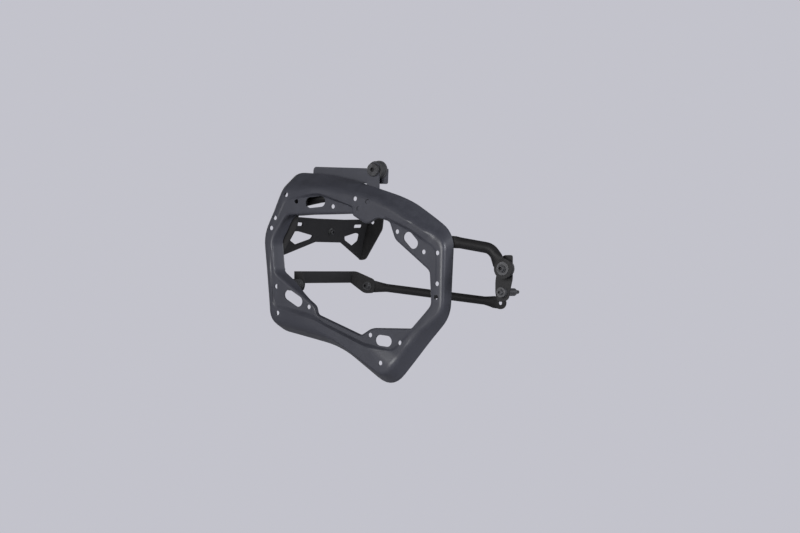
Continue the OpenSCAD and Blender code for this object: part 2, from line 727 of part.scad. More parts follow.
module front_stay() {
    d = front_tube_d;
    bore = d - 2 * tube_wall;
    thin = flat_t - 0.2;
    y = bolted_y + d / 2;
    flat_y = bolted_y + flat_t / 2;
    half_y = (y + flat_y) / 2;
    along = unit(stay_bend - foot_top);
    down = unit(eye - stay_bend);
    turn = acos(along * down);
    reach = bend_r * tan(turn / 2);
    centre = stay_bend - reach * along + bend_r * [along[1], -along[0]];
    heading = atan2(along[1], along[0]);
    bend = [for (k = [0:bend_steps])
        let (h = heading - turn * k / bend_steps)
        [centre + bend_r * [-sin(h), cos(h)], [cos(h), sin(h)]]];
    color(dark_coat) in_frame() difference() {
        union() {
            plate(bolted_y, flat_t) polygon(smooth([
                [foot_bolt[0] - 11, foot_bolt[1] - 11, 6], [tube_start[0] - 4, tube_start[1] - 12, 3],
                [tube_start[0] - 4, tube_start[1] + 11, 4], [foot_top[0] + 6, foot_top[1] + 10, 3],
                [foot_top[0] + 8, foot_top[1] - 12, 3], [foot_bolt[0] + 9, foot_bolt[1] - 11, 6]
            ]));
            swept(concat(
                [tube_section(foot_top, along, d - 1, thin, flat_y),
                    tube_section(foot_top + 8 * along, along, d + 1, thin, flat_y),
                    tube_section(foot_top + 15 * along, along, d + 2, (thin + d) / 2, half_y),
                    tube_section(foot_top + 23 * along, along, d, d, y)],
                [for (b = bend) tube_section(b[0], b[1], d, d, y)],
                [tube_section(eye - 33 * down, down, d, d, y),
                    tube_section(eye - 24 * down, down, d + 4, (thin + d) / 2, half_y),
                    tube_section(eye - 17 * down, down, d + 6, thin, flat_y),
                    tube_section(eye - 6 * down, down, d + 6, thin, flat_y)]
            ));
            rod(eye, eye_outer, bolted_y, bolted_y + flat_t);
        }
        swept(concat(
            [tube_section(foot_top + 24 * along, along, bore, bore, y)],
            [for (b = bend) tube_section(b[0], b[1], bore, bore, y)],
            [tube_section(eye - 34 * down, down, bore, bore, y)]
        ));
        for (p = [foot_bolt, eye]) hole(p, screw_d, bolted_y, bolted_y + flat_t);
    }
}

module foot_screw() {
    color(zinc_black) in_frame() cap_screw(foot_bolt, screw_d, lug_y,
        bolted_y + flat_t + nut_h(screw_d) + 2);
}

module foot_nut() {
    color(zinc_black) in_frame() nut(foot_bolt, screw_d, bolted_y + flat_t);
}

module eye_screw() {
    color(zinc_black) in_frame() cap_screw(eye, screw_d, bolted_y - washer_t,
        front_plate_y + plate_t + nut_h(screw_d) + 2);
}

module eye_washer() {
    color(zinc_black) in_frame() washer(eye, screw_d, 24, bolted_y - washer_t, washer_t);
}

module eye_bush() {
    color(rubber_black) in_frame() washer(eye, screw_d, 30, bolted_y + flat_t, eye_bush_t);
}

module eye_nut() {
    color(zinc_black) in_frame() nut(eye, screw_d, front_plate_y + plate_t);
}

// Front plate between the eye and the bike
module front_plate() {
    color(dark_coat) in_frame() difference() {
        plate(front_plate_y, plate_t) polygon(smooth([
            [front_x - 16, front_z + 22, 8], [eye[0] - 16, eye[1] + 10, 6], [eye[0] - 8, eye[1] + 24, 5],
            [eye[0] + 10, eye[1] + 24, 4], [eye[0] + 10, eye[1] - 18, 5], [front_x + 14, front_z + 8, 8],
            [front_x + 10, front_z - 14, 8], [front_x - 10, front_z - 18, 6], [front_x - 16, front_z - 4, 6]
        ]));
        hole(eye, screw_d, front_plate_y, front_plate_y + plate_t);
        hole([front_x, front_z], front_screw_d, front_plate_y, front_plate_y + plate_t);
    }
}

spacer_t = 9;

module front_screw() {
    color(zinc_black) in_frame() screw([front_x, front_z], front_screw_d, front_plate_y - spacer_t,
        seat_y + thread_l, head_d(front_screw_d), head_h(front_screw_d), thread_l);
}

module front_spacer() {
    color(zinc_black) in_frame() washer([front_x, front_z], front_screw_d, 18,
        front_plate_y - spacer_t, spacer_t);
}

module front_sleeve() {
    color(zinc_black) in_frame() washer([front_x, front_z], front_screw_d, 14,
        front_plate_y + plate_t, sleeve_l);
}

ring();
rear_plate();
front_lug();
top_tab();
rear_brace();
brace_screws();
brace_nuts();
centre_screw();
centre_washer();
cross_bar();
cross_bar_bush();
cross_bar_screw();
cross_bar_nut();
lower_stay();
lower_stay_screw();
lower_stay_washer();
lower_stay_nut();
upper_link();
link_screw();
link_nut();
top_bracket();
top_screw();
top_disc();
top_washer();
top_nut();
front_stay();
foot_screw();
foot_nut();
eye_screw();
eye_washer();
eye_bush();
eye_nut();
front_plate();
front_screw();
front_spacer();
front_sleeve();
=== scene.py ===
"""Looks of the pannier frame: coated steel, black plated screws, rubber, welds, threads."""
import json
import math

import bmesh
import bpy
from mathutils import Matrix, Vector


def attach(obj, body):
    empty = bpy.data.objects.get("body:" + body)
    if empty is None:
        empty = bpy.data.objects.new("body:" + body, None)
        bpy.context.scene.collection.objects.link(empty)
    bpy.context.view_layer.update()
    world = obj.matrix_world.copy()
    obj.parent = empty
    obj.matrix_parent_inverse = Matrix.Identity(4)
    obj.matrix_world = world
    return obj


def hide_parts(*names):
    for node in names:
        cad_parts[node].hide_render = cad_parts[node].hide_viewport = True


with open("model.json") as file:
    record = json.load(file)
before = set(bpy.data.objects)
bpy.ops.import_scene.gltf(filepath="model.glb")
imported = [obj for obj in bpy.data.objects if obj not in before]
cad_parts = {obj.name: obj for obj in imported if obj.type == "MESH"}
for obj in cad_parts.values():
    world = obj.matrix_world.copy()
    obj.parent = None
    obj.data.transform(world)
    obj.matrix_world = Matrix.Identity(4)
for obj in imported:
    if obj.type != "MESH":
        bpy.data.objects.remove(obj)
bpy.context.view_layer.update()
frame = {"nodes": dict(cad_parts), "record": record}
nodes = frame["nodes"]

MM = 0.001
# The drawing's own zero, as seen from the frame's origin at the seat of the front sleeve
ZERO = Vector((-0.293, -0.086, 0.023))
EVEN = (1.0, 1.0, 1.0)


def at(x, y, z):
    """A point of the part's drawing, in mm, in the frame."""
    return ZERO + Vector((x, y, z)) * MM


class Tree:
    """A node tree, with the one method that adds a node to it."""

    def __init__(self, tree):
        self.tree = tree

    def add(self, kind, settings=None, sockets=None):
        """A node of a kind: its settings first, then the numbers or links of its sockets."""
        node = self.tree.nodes.new(kind)
        for name, value in (settings or {}).items():
            setattr(node, name, value)
        for key, value in (sockets or {}).items():
            if isinstance(value, Val):
                self.feed(value, node.inputs[key])
            else:
                node.inputs[key].default_value = value
        return node

    def value(self, output, kind, settings=None, sockets=None):
        """One output of a new node."""
        return Val(self, self.add(kind, settings, sockets).outputs[output])

    def feed(self, value, socket):
        self.tree.links.new(value.socket, socket)


class Val:
    """An output of a node. Arithmetic on it adds Math nodes."""

    def __init__(self, tree, socket):
        self.tree = tree
        self.socket = socket

    def math(self, operation, first, second):
        return self.tree.value(0, "ShaderNodeMath", {"operation": operation},
                               {0: first, 1: second})

    def __add__(self, other):
        return self.math("ADD", self, other)

    __radd__ = __add__

    def __mul__(self, other):
        return self.math("MULTIPLY", self, other)

    __rmul__ = __mul__

    def __sub__(self, other):
        return self.math("SUBTRACT", self, other)

    def __rsub__(self, other):
        return self.math("SUBTRACT", other, self)

    def ramp(self, low, high):
        """0 below low, 1 above high, smooth between them."""
        return self.tree.value("Result", "ShaderNodeMapRange",
                               {"interpolation_type": "SMOOTHSTEP"},
                               {"Value": self, "From Min": low, "From Max": high})

    def tint(self, low, high):
        """Colour that goes from low to high as the value goes from 0 to 1."""
        low, high = (c if isinstance(c, Val) else (*c, 1.0) for c in (low, high))
        return self.tree.value(2, "ShaderNodeMix", {"data_type": "RGBA"},
                               {0: self, 6: low, 7: high})


class Finish(Tree):
    """One procedural material, with helpers for its inputs."""

    def __init__(self, name):
        self.material = bpy.data.materials.new(name)
        self.material.use_nodes = True
        super().__init__(self.material.node_tree)
        self.shader = self.tree.nodes["Principled BSDF"]
        self.place = self.value("Object", "ShaderNodeTexCoord")

    def noise(self, scale, detail=3.0, rough=0.5, stretch=EVEN):
        place = self.value("Vector", "ShaderNodeMapping",
                           sockets={"Vector": self.place, "Scale": stretch})
        return self.value("Fac", "ShaderNodeTexNoise",
                          sockets={"Vector": place, "Scale": scale, "Detail": detail,
                                   "Roughness": rough})

    def cells(self, scale):
        return self.value("Distance", "ShaderNodeTexVoronoi",
                          sockets={"Vector": self.place, "Scale": scale})

    def convexity(self):
        return self.value("Pointiness", "ShaderNodeNewGeometry")

    def upward(self):
        normal = self.value("Normal", "ShaderNodeNewGeometry")
        return self.value("Z", "ShaderNodeSeparateXYZ", sockets={0: normal})

    def link(self, value, name):
        self.feed(value, self.shader.inputs[name])

    def bump(self, height, depth, strength):
        self.link(self.value("Normal", "ShaderNodeBump",
                             sockets={"Strength": strength, "Distance": depth, "Height": height}),
                  "Normal")

    def fixed(self, **values):
        for key, value in values.items():
            self.shader.inputs[key.replace("_", " ")].default_value = value


def shaded(colour, factor, lift=0.0):
    return [c * factor + lift for c in colour]


def coated_steel(name, colour, rub_and_highlight_colour, rough, gloss, rub_and_highlight):
    """Powder coat over steel: fine orange peel, dust on what faces up, edges rubbed a little and
    lightened as a painted highlight.
    """
    f = Finish(name)
    peel = f.noise(950.0, 2.0, 0.45)
    grain = f.noise(2600.0, 1.0)
    cloud = f.noise(11.0, 4.0, 0.55)
    smear = f.noise(38.0, 3.0, 0.6, (1.0, 1.0, 0.35))
    rub = f.noise(150.0, 5.0, 0.65)
    # Convex edges and hole rims: partly rubbed coat, partly a painted highlight in a paler bluish
    # colour
    edge = (f.convexity() + (rub - 0.5) * 0.05).ramp(0.535, 0.6)
    dust = f.upward().ramp(0.25, 0.95) * f.noise(70.0, 6.0, 0.7).ramp(0.38, 0.66)
    tone = cloud.tint(shaded(colour, 0.86), shaded(colour, 1.14))
    dusted = (dust * 0.16).tint(tone, shaded(colour, 2.0, 0.01))
    f.link((edge * rub_and_highlight).tint(dusted, rub_and_highlight_colour), "Base Color")
    matt = (smear - 0.5) * 0.14 + dust * 0.1 + (grain - 0.5) * 0.05
    f.link(matt - edge * (0.16 * rub_and_highlight) + rough, "Roughness")
    f.bump(peel * 0.7 + grain * 0.3, 0.00016, 0.55)
    f.fixed(Metallic=0.0, Specular_IOR_Level=gloss, IOR=1.45)
    return f.material


def plated_steel(name, colour, rough):
    """Zinc on turned steel: fine marks round the screw's length, pits, worn bright corners."""
    f = Finish(name)
    marks = f.noise(420.0, 3.0, 0.6, (1.0, 6.0, 1.0))
    cloud = f.noise(130.0, 4.0, 0.6)
    pits = f.cells(900.0).ramp(0.05, 0.35)
    worn_edge = (f.convexity() + (cloud - 0.5) * 0.06).ramp(0.52, 0.6)
    tone = cloud.tint(shaded(colour, 0.7), shaded(colour, 1.5))
    f.link((worn_edge * 0.5).tint(tone, (0.13, 0.13, 0.135)), "Base Color")
    f.link((marks - 0.5) * 0.22 + (1.0 - pits) * 0.05 + rough, "Roughness")
    f.bump(marks * 0.6 + pits * 0.4, 0.00012, 0.5)
    f.fixed(Metallic=0.6, IOR=1.5)
    return f.material


def moulded_rubber(name, colour):
    """Matt rubber with fine grain, a grey bloom on its high parts."""
    f = Finish(name)
    grain = f.cells(1500.0)
    cloud = f.noise(60.0, 4.0, 0.6)
    bloom = (f.upward() * 0.35 + cloud * 0.8).ramp(0.45, 0.95)
    f.link((bloom * 0.45).tint(colour, shaded(colour, 2.6, 0.01)), "Base Color")
    f.link((cloud - 0.5) * 0.14 + bloom * 0.08 + 0.74, "Roughness")
    f.bump(grain * 0.5 + f.noise(500.0, 2.0) * 0.5, 0.00014, 0.6)
    f.fixed(Metallic=0.0, IOR=1.52)
    return f.material


def weld_steel(name, colour):
    """Weld under the coat: rippled, about as matt as the sheet."""
    f = Finish(name)
    ripple = f.noise(700.0, 4.0, 0.6)
    cloud = f.noise(220.0, 3.0)
    f.link(cloud.tint(shaded(colour, 0.8), shaded(colour, 1.35)), "Base Color")
    f.link((ripple - 0.5) * 0.2 + 0.42, "Roughness")
    f.bump(ripple, 0.0003, 0.6)
    f.fixed(Metallic=0.0, IOR=1.5)
    return f.material


COAT = (0.0305, 0.0315, 0.0395)
# Painted shade: the same black coat made darker for the parts that sit in shade behind the ring
SHADE_PAINTED_COAT = (0.0095, 0.0092, 0.0098)
# Each coat's edge colour is partly rubbed coat and partly a painted highlight
coat = coated_steel("ring_coat", COAT, rub_and_highlight_colour=(0.1, 0.104, 0.122), rough=0.41, gloss=0.4,
                    rub_and_highlight=0.06)
# Painted shade: a darker copy of the black coat, for the parts that sit in shade behind the ring
shade_painted_coat = coated_steel("dark_coat", SHADE_PAINTED_COAT, rub_and_highlight_colour=(0.045, 0.045, 0.047), rough=0.5, gloss=0.2,
                    rub_and_highlight=0.15)
plated = plated_steel("black_zinc", (0.02, 0.02, 0.022), 0.34)
worn = plated_steel("worn_zinc", (0.12, 0.125, 0.12), 0.42)
rubber = moulded_rubber("rubber", (0.014, 0.014, 0.015))
weld = weld_steel("weld_bead", (0.043, 0.045, 0.052))

FINISHES = {"ring_coat": coat, "dark_coat": shade_painted_coat, "black_zinc": plated, "rubber": rubber}
SLOTS = {s["node"]: s["material_slot"] for s in frame["record"]["subparts"]}


def mesh_of(name, verts, edges, faces):
    mesh = bpy.data.meshes.new(name)
    mesh.from_pydata(verts, edges, faces)
    return mesh


def object_of(name, data):
    """A new object that is in the scene."""
    piece = bpy.data.objects.new(name, data)
    bpy.context.scene.collection.objects.link(piece)
    return piece


def plain(piece):
    """Turns the modifiers of a piece into its own mesh."""
    bpy.context.view_layer.update()
    seen = piece.evaluated_get(bpy.context.evaluated_depsgraph_get())
    mesh = bpy.data.meshes.new_from_object(seen)
    piece.modifiers.clear()
    piece.data = mesh


def smooth_by_angle(mesh, degrees):
    """Smooth faces, with the edges sharper than the angle kept sharp."""
    limit = math.radians(degrees)
    normals = [f.normal.copy() for f in mesh.polygons]
    seen = {}
    for face in mesh.polygons:
        face.use_smooth = True
        for key in face.edge_keys:
            seen.setdefault(key, []).append(face.index)
    for edge in mesh.edges:
        sides = [normals[i] for i in seen.get(tuple(sorted(edge.vertices)), [])]
        edge.use_edge_sharp = len(sides) == 2 and sides[0].angle(sides[1], 0.0) > limit


def finished_copy(name, angle):
    """A merged, smooth copy of one CAD node that stands for it."""
    source = nodes[name]
    piece = source.copy()
    piece.data = source.data.copy()
    piece.name = name + "_finish"
    bpy.context.scene.collection.objects.link(piece)
    piece.parent = None
    piece.matrix_world = Matrix.Identity(4)
    merge = piece.modifiers.new("merge", "WELD")
    merge.merge_threshold = 0.02 * MM
    plain(piece)
    smooth_by_angle(piece.data, angle)
    piece.data.materials.clear()
    piece.data.materials.append(worn if name == "centre_washer" else FINISHES[SLOTS[name]])
    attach(piece, "root")
    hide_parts(name)


# Edges of these pieces that bend by more degrees than this stay sharp
COPY_ANGLE = 28
for name in nodes:
    if name != "ring":
        finished_copy(name, COPY_ANGLE)


def copies_tree():
    """Copies of one object along lines, each made a little smaller by a seeded chance."""
    group = bpy.data.node_groups.new("copies_along_line", "GeometryNodeTree")
    keys = {}
    for name, kind in (("Line", "Geometry"), ("One", "Object"), ("Pitch", "Float"),
                       ("Vary", "Float"), ("Seed", "Int"), ("Material", "Material")):
        socket = group.interface.new_socket(name=name, in_out="INPUT",
                                            socket_type="NodeSocket" + kind)
        keys[name] = socket.identifier
    group.interface.new_socket(name="Geometry", in_out="OUTPUT",
                               socket_type="NodeSocketGeometry")
    tree = Tree(group)
    inputs = tree.add("NodeGroupInput").outputs
    given = {name: Val(tree, inputs[name]) for name in keys}
    curve = tree.value("Curve", "GeometryNodeMeshToCurve", sockets={"Mesh": given["Line"]})
    points = tree.add("GeometryNodeCurveToPoints", {"mode": "LENGTH"},
                      {"Curve": curve, "Length": given["Pitch"]}).outputs
    one = tree.value("Geometry", "GeometryNodeObjectInfo", sockets={"Object": given["One"]})
    size = tree.value(1, "FunctionNodeRandomValue", {"data_type": "FLOAT"},
                      {2: 1.0 - given["Vary"], 3: 1.0, "Seed": given["Seed"]})
    placed = tree.value("Instances", "GeometryNodeInstanceOnPoints",
                        sockets={"Points": Val(tree, points["Points"]), "Instance": one,
                                 "Rotation": Val(tree, points["Rotation"]), "Scale": size})
    real = tree.value("Geometry", "GeometryNodeRealizeInstances", sockets={"Geometry": placed})
    painted = tree.value("Geometry", "GeometryNodeSetMaterial",
                         sockets={"Geometry": real, "Material": given["Material"]})
    tree.add("NodeGroupOutput", sockets={"Geometry": painted})
    return group, keys


COPIES, KEYS = copies_tree()


def line_mesh(name, lines):
    """Edges through the points of each line."""
    verts = []
    edges = []
    for line in lines:
        start = len(verts)
        verts += [tuple(p) for p in line]
        edges += [(start + i, start + i + 1) for i in range(len(line) - 1)]
    return mesh_of(name, verts, edges, [])


def along(name, lines, one, pitch, material, vary=0.0, seed=1, angle=40):
    """Copies of one object along the lines, made plain and riding on the frame."""
    piece = object_of(name, line_mesh(name, lines))
    copies = piece.modifiers.new("copies", "NODES")
    copies.node_group = COPIES
    for key, value in (("One", one), ("Pitch", pitch * MM), ("Vary", vary), ("Seed", seed),
                       ("Material", material)):
        copies[KEYS[key]] = value
    plain(piece)
    smooth_by_angle(piece.data, angle)
    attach(piece, "root")


def lathe(name, profile, sides=32):
    """A ring turned round Z from a closed profile of (radius, height) in mm."""
    n = len(profile)
    verts = []
    for k in range(sides):
        a = 2 * math.pi * k / sides
        verts += [(r * math.cos(a) * MM, r * math.sin(a) * MM, z * MM) for r, z in profile]
    faces = [(k * n + j, ((k + 1) % sides) * n + j, ((k + 1) % sides) * n + (j + 1) % n,
              k * n + (j + 1) % n) for k in range(sides) for j in range(n)]
    mesh = mesh_of(name, verts, [], faces)
    mesh.validate()
    return bpy.data.objects.new(name, mesh)


# The pressed ring with its soft folds. Corner points clockwise from the rear top, across and
# up in percent of its width, then the length that each rounding takes in mm.
OUTER = [
    (-37, 50.5, 28), (-16.5, 48.75, 24), (-0.5, 45, 14), (4.5, 43.5, 8), (14.5, 40.5, 16),
    (23.25, 37.75, 14), (30.75, 34.5, 14), (40, 28.5, 16), (51, 20.75, 30), (49, -16.75, 24),
    (38, -28.5, 16), (29.5, -38.25, 16), (18.5, -50.5, 38), (-9.5, -31.5, 36), (-23, -28.5, 14),
    (-46.5, -23.5, 28), (-50.75, 20.5, 26)]
SHOULDER = [
    (-39, 43, 16), (-17, 42.5, 18), (-0.5, 40.25, 10), (5, 39, 7), (15, 36.25, 14),
    (23.5, 31.75, 12), (29.5, 28, 12), (38.5, 23.25, 14), (49.75, 16.75, 18),
    (48.75, -14.75, 18), (36.25, -24.25, 12), (28.5, -32.75, 12), (19, -45, 22),
    (-8.5, -27.75, 30), (-23, -24.25, 12), (-45.75, -20, 20), (-49.75, 20.5, 20)]
CREASE = [
    (-36.75, 38, 10), (-17.5, 40.25, 14), (-1, 34.75, 8), (3.5, 33, 5), (11.75, 30.25, 9),
    (18, 29.25, 8), (23.75, 27.1, 10), (33.25, 22.9, 14), (46, 14.25, 14), (46, -13.25, 10),
    (34.25, -23, 5), (24, -33, 10), (9, -31.25, 7), (-15.25, -21, 11), (-22.25, -18.75, 8),
    (-43.5, -13.25, 10), (-47.25, 19.75, 13)]
OPENING = [
    (-36.5, 30, 9), (-18, 30, 15), (0.25, 30, 4), (3.5, 28.25, 4), (9.5, 24.75, 9),
    (15.25, 28, 6), (20.5, 26.25, 5), (23.5, 18, 7), (42, 3.5, 8), (42.5, -11.5, 8),
    (32.5, -22.25, 4), (11, -22.25, 9), (5, -25.75, 6), (-19.25, -16.5, 5),
    (-20.25, -12.5, 6), (-43.25, 3, 12), (-44.75, 18.25, 14)]
# At each corner: height of the raised rim and of the web as shares of the crest, depth of the
# lip and of the outer wall as shares of the full depth
RIM = (0.15, 0.9, 1, 1, 1, 1, 1, 0.8, 0.1, 0, 0.1, 0.35, 1, 1, 1, 0.3, 0)
WEB = (0, 0, 0, 1, 1, 1, 0, 0, 0, 0, 0, 0, 0, 0, 0, 0, 0)
LIP = (1, 0.7, 0.4, 0.35, 0.3, 0.3, 0.3, 0.3, 0.5, 0.6, 0.35, 0.3, 0.35, 0.35, 0.35, 1, 1)
WALL = (1, 1, 1, 1, 1, 1, 1, 1, 1, 1, 1, 1, 1, 1, 1, 1, 0.38)
# At each corner, in mm: rounding of the shoulder, length of the step, draft of the lip
FOLD = (15, 15, 13, 12, 11, 9, 8, 8, 9, 8, 8, 8, 9, 11, 13, 14, 15)
STEP = (6.5, 6.5, 6.5, 5, 5, 6, 9, 9, 6.5, 6.5, 6.5, 9, 12, 12, 12, 10, 6.5)
DRAFT = (1, 0, 0, 0, 0, 0, 0, 0, 0, 0, 0, 0, 0, 0, 0, 4, 4)
# At each corner, how far the step is turned from the opening's point to square off the crease
SQUARE = (0, 0, 0, 0, 0, 0.5, 1, 0.8, 0, 0, 0, 0, 0, 0, 0, 0, 0)
# Middle of each small hole in percent
HOLES = [
    (-36.25, 39.5), (-30.5, 36.25), (-10, 33.5), (3.5, 36.75), (10.25, 35.25), (5.5, 32.25),
    (-42.75, 28.75), (-45, 24), (25, 21.5), (39, 12.25), (46.25, 11.75), (46, -2),
    (45.5, -8), (-42, -3.5), (-23.5, -13), (-41, -16), (10.5, -25.5), (26.5, -28.75),
    (17.25, -38)]
# Middle of each oblong slot in percent, its length in mm and its slope in degrees
SLOTTED = [(-19.75, 35.75, 44, 4), (32.25, 17.5, 35, -46), (17.75, -28, 35, -6),
           (-32.25, -9, 44, -30)]
# In mm: a percent of the ring's width, then its depth, its sheet and the height of its crest
PERCENT = 4.0
DEEP, SHEET, CREST = 28.0, 2.5, 8.0
RIM_ROUND = 5.5
HOLE_R, SLOT_W = 4.3, 20
# Depths that the cuts start and end at
CUT = (-16, 14)
# Edges of the ring that bend by more degrees than this stay sharp
RING_ANGLE = 32
# Stations on each corner and between two corners
TURN, BETWEEN = 8, 5
BETWEENS = [i / (BETWEEN + 1) for i in range(1, BETWEEN + 1)]
# Points of the section on the shoulder's rounding and the rim's, and spans of the step
FOLD_POINTS, RIM_POINTS, STEP_SPANS = 9, 6, 7
# How much of the web, of the wall and of the way to the opening the roundings may take
WEB_SHARE, WALL_SHARE, STEP_SHARE, RIM_SHARE = 0.8, 0.7, 0.75, 0.9


def bend(a, b, c, cut, steps):
    """Points of the rounded corner b between its neighbours a and c."""
    p = b + (a - b).normalized() * cut
    q = b + (c - b).normalized() * cut
    return [p * (1 - t) ** 2 + b * (2 * t * (1 - t)) + q * t * t
            for t in (i / (steps - 1) for i in range(steps))]


def ease(t):
    return (1 - math.cos(math.pi * t)) / 2


def ring_line(corners):
    """The stations of one line round the ring, in mm."""
    spots = [Vector(c[:2]) * PERCENT for c in corners]
    n = len(corners)
    turns = [bend(spots[k - 1], spots[k], spots[(k + 1) % n], corners[k][2], TURN)
             for k in range(n)]
    line = []
    for k in range(n):
        line += turns[k] + [turns[k][-1].lerp(turns[(k + 1) % n][0], t) for t in BETWEENS]
    return line


def spread(values):
    """A value at each station, eased between the corners."""
    out = []
    for k, v in enumerate(values):
        w = values[(k + 1) % len(values)]
        out += [v] * TURN + [v + (w - v) * ease(t) for t in BETWEENS]
    return out


def outward(line, i):
    """Square off the line, away from the ring's middle."""
    d = (line[(i + 1) % len(line)] - line[i - 1]).normalized()
    return Vector((-d[1], d[0]))


def deep(p, y):
    return Vector((p[0], y, p[1]))


def step_down(crest, foot):
    """Points of the step, with its depth eased at both ends."""
    points = []
    for t in (k / STEP_SPANS for k in range(STEP_SPANS + 1)):
        shares = (t, ease(t), t)
        points.append(Vector([c + (f - c) * s for c, f, s in zip(crest, foot, shares)]))
    return points


def ring_mesh():
    """The bent sheet: one closed section at each station, joined to the next."""
    outer, shoulder, crease, opening = (
        ring_line(c) for c in (OUTER, SHOULDER, CREASE, OPENING))
    rims, webs, lips, walls = (spread(v) for v in (RIM, WEB, LIP, WALL))
    folds, steps, drafts, squares = (spread(v) for v in (FOLD, STEP, DRAFT, SQUARE))
    sections = []
    for i in range(len(outer)):
        rise, web, lip = rims[i] * CREST, webs[i] * CREST, lips[i] * DEEP
        out, hole_out = outward(shoulder, i), outward(opening, i)
        back = walls[i] * DEEP
        tall, full = back + rise, DEEP + rise
        lean = math.atan2((outer[i] - shoulder[i]).dot(out) * tall / full, tall)
        foot_line = shoulder[i].lerp(outer[i], tall / full)
        room = (crease[i] - shoulder[i]).length
        cut = min(folds[i], WEB_SHARE * room, WALL_SHARE * tall)
        gap = (opening[i] - crease[i]).length
        down = min(steps[i], STEP_SHARE * gap)
        eased = min(RIM_ROUND, RIM_SHARE * (gap - down))
        toward = (opening[i] - crease[i]) / gap - outward(crease, i) * squares[i]
        foot_place = crease[i] + toward.normalized() * down
        skins = []
        for inside in (0.0, SHEET):
            pull = inside * math.tan(math.pi / 4 - lean / 2)
            edge = deep(foot_line - out * inside / math.cos(lean), back)
            fold = deep(shoulder[i] - out * pull, inside - rise)
            crest = deep(crease[i], inside - rise)
            foot = deep(foot_place, inside - web)
            rim = deep(opening[i] + hole_out * inside, inside - web)
            end = deep(opening[i] + hole_out * (inside - drafts[i]), lip - web)
            inner = eased * (1 - inside / RIM_ROUND)
            skins.append([edge] + bend(edge, fold, crest, cut - pull, FOLD_POINTS)
                         + step_down(crest, foot)
                         + bend(foot, rim, end, inner, RIM_POINTS) + [end])
        sections.append(skins[0] + skins[1][::-1])
    n, total = len(sections[0]), len(sections)
    verts = [tuple(at(*p)) for s in sections for p in s]
    faces = [(a * n + j, b * n + j, b * n + (j + 1) % n, a * n + (j + 1) % n)
             for a, b in ((i, (i + 1) % total) for i in range(total)) for j in range(n)]
    return mesh_of("ring_sheet", verts, [], faces)


def prism(outline):
    """Points and faces of an outline drawn out through the depth of the cuts."""
    n = len(outline)
    points = [at(x, y, z) for y in CUT for x, z in outline]
    sides = [(k, (k + 1) % n, n + (k + 1) % n, n + k) for k in range(n)]
    return points, sides + [tuple(range(n - 1, -1, -1)), tuple(range(n, 2 * n))]


def hole_outline(x, z, parts=32):
    return [(x + HOLE_R * math.cos(2 * math.pi * k / parts),
             z + HOLE_R * math.sin(2 * math.pi * k / parts)) for k in range(parts)]


def slot_outline(x, z, length, slope, parts=16):
    half, end = (length - SLOT_W) / 2, SLOT_W / 2
    turn = math.radians(slope)
    line = []
    for side, first in ((1, -90), (-1, 90)):
        for k in range(parts + 1):
            a = math.radians(first + k * 180 / parts)
            u, v = side * half + end * math.cos(a), end * math.sin(a)
            line.append((x + u * math.cos(turn) - v * math.sin(turn),
                         z + u * math.sin(turn) + v * math.cos(turn)))
    return line


def face_outward(mesh):
    work = bmesh.new()
    work.from_mesh(mesh)
    bmesh.ops.recalc_face_normals(work, faces=work.faces)
    work.to_mesh(mesh)
    work.free()


def split_large_faces(mesh):
    """Triangles in place of the many-sided faces that the cuts leave."""
    work = bmesh.new()
    work.from_mesh(mesh)
    bmesh.ops.triangulate(work, faces=[f for f in work.faces if len(f.verts) > 4],
                          ngon_method="BEAUTY")
    work.to_mesh(mesh)
    work.free()


def joined(name, parts):
    """One mesh of several lots of points and faces."""
    verts, faces = [], []
    for points, sides in parts:
        faces += [tuple(len(verts) + k for k in side) for side in sides]
        verts += [tuple(p) for p in points]
    mesh = mesh_of(name, verts, [], faces)
    face_outward(mesh)
    return mesh


cuts = [prism(hole_outline(x * PERCENT, z * PERCENT)) for x, z in HOLES]
cuts += [prism(slot_outline(x * PERCENT, z * PERCENT, length, slope))
         for x, z, length, slope in SLOTTED]
cutter = object_of("cutter", joined("cutter", cuts))
sheet = ring_mesh()
face_outward(sheet)
ring = object_of("ring_finish", sheet)
pierce = ring.modifiers.new("pierce", "BOOLEAN")
pierce.operation = "DIFFERENCE"
pierce.solver = "EXACT"
pierce.object = cutter
plain(ring)
bpy.data.objects.remove(cutter)
split_large_faces(ring.data)
smooth_by_angle(ring.data, RING_ANGLE)
even = ring.modifiers.new("even", "WEIGHTED_NORMAL")
even.keep_sharp = True
plain(ring)
ring.data.materials.append(coat)
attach(ring, "root")
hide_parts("ring")

# The centre plate of the rear brace: its upper fold, its middle in depth and its lean
PLATE_X, PLATE_Y, PLATE_Z = -179, 182, 120
LEAN = math.radians(13.5)
# Height of the centre screw on that plate
CENTRE = -24


def on_brace(u, v):
    """A point of the leaning centre plate: u along its normal, v up its face, in mm."""
    return at(PLATE_X + u * math.cos(LEAN) + v * math.sin(LEAN), PLATE_Y,
              PLATE_Z - u * math.sin(LEAN) + v * math.cos(LEAN))


def thread(name, d, pitch, lines):
    """Ridges along the lengths of thread that show, from just inside the screw's surface."""
    foot, top = d / 2 - 0.1, d / 2 + 0.26
    ridge = lathe(name + "_ridge", [(foot, -0.42 * pitch), (top, -0.1 * pitch),
                                    (top, 0.1 * pitch), (foot, 0.42 * pitch)])
    along(name, lines, ridge, pitch, plated)


# The upper link: the place of its near screw, its length and its slope
EAR_X, EAR_Z = -146, 144
LINK_L, LINK_SLOPE = 86, math.radians(9)
# Place of each 8 mm screw across and up, depth of its seat, depth of its nut's far side
SCREWS = [
    (EAR_X, EAR_Z, 28, 44.4), (-166, 114, 28, 40.4), (-160, -11, 28, 73.4),
    (-131, -14.5, 257.4, 272.4),
    (EAR_X + LINK_L * math.cos(LINK_SLOPE), EAR_Z + LINK_L * math.sin(LINK_SLOPE), 42, 55.4),
    (187, 50, 28, 41.4), (301, 19, 29.4, 56.4)]
TOP_X, TOP_Z = 33, 201
FRONT_X, FRONT_SEAT, FRONT_Z = 293, 38, -23
